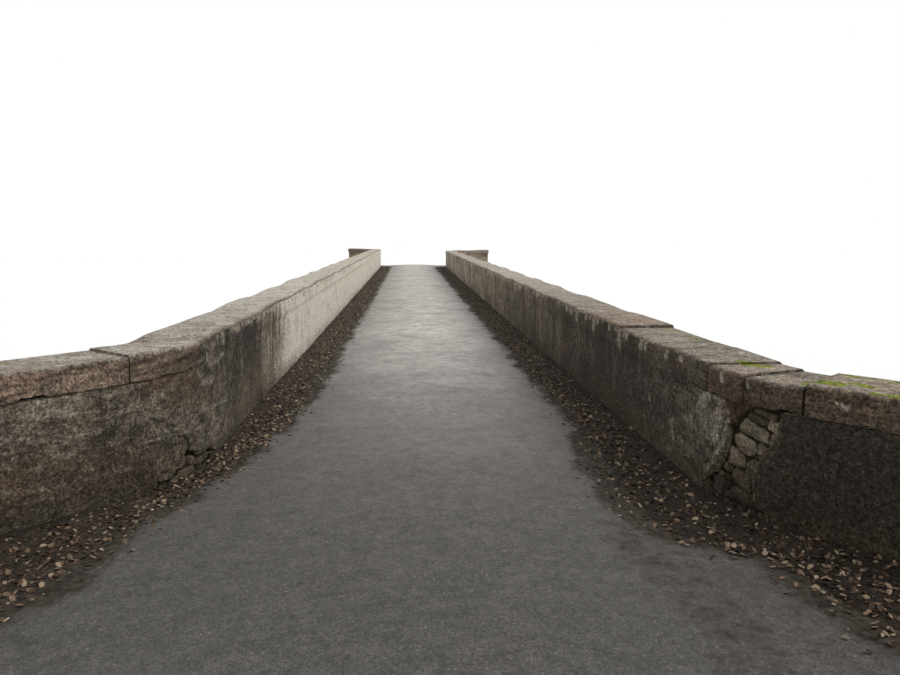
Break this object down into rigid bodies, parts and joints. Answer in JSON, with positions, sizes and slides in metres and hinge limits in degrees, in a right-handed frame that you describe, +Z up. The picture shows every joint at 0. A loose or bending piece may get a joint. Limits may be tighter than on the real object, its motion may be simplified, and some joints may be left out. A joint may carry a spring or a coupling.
{
  "type": "stone road bridge",
  "caption": "Narrow masonry road bridge on segmental arches, with pointed cutwaters, curved wing walls and solid rendered parapets under flat coping slabs.",
  "frame": {"origin": "under the middle of the bridge, level with the feet of the piers", "axes": "+Y along the road from the near end to the far end, +X to the right, +Z up"},
  "size_m": [8.6264, 39.6, 5.789],
  "materials": {
    "tarmac": "worn grey tarmac with fine chippings",
    "earth": "dark earth with leaf litter",
    "fill": "packed rubble and earth fill",
    "rubble_stone": "random rubble in lime mortar",
    "dressed_stone": "dressed sandstone with raked joints",
    "render_coat": "old lime render, streaked and stained",
    "coping_stone": "weathered stone slabs with lichen and moss"
  },
  "bodies": {
    "root": {"carriageway": "tarmac", "margin_left": "earth", "margin_right": "earth", "road_fill": "fill", "barrel_near": "rubble_stone", "barrel_middle": "rubble_stone", "barrel_far": "rubble_stone", "ring_near_left": "dressed_stone", "ring_near_right": "dressed_stone", "ring_middle_left": "dressed_stone", "ring_middle_right": "dressed_stone", "ring_far_left": "dressed_stone", "ring_far_right": "dressed_stone", "plinth_near": "dressed_stone", "plinth_far": "dressed_stone", "pier_near": "rubble_stone", "pier_far": "rubble_stone", "cutwater_near_left": "dressed_stone", "cutwater_near_right": "dressed_stone", "cutwater_far_left": "dressed_stone", "cutwater_far_right": "dressed_stone", "cutwater_caps_near": "dressed_stone", "cutwater_caps_far": "dressed_stone", "abutment_near": "rubble_stone", "abutment_far": "rubble_stone", "spandrel_left": "rubble_stone", "spandrel_right": "rubble_stone", "wing_wall_near_left": "rubble_stone", "wing_wall_near_right": "rubble_stone", "wing_wall_far_left": "rubble_stone", "wing_wall_far_right": "rubble_stone", "parapet_left": "rubble_stone", "parapet_right": "rubble_stone", "parapet_wing_near_left": "rubble_stone", "parapet_wing_near_right": "rubble_stone", "parapet_wing_far_left": "rubble_stone", "parapet_wing_far_right": "rubble_stone", "render_left": "render_coat", "render_right": "render_coat", "coping_left": "coping_stone", "coping_right": "coping_stone", "coping_wing_near_left": "coping_stone", "coping_wing_near_right": "coping_stone", "coping_wing_far_left": "coping_stone", "coping_wing_far_right": "coping_stone"}
  },
  "joints": []
}
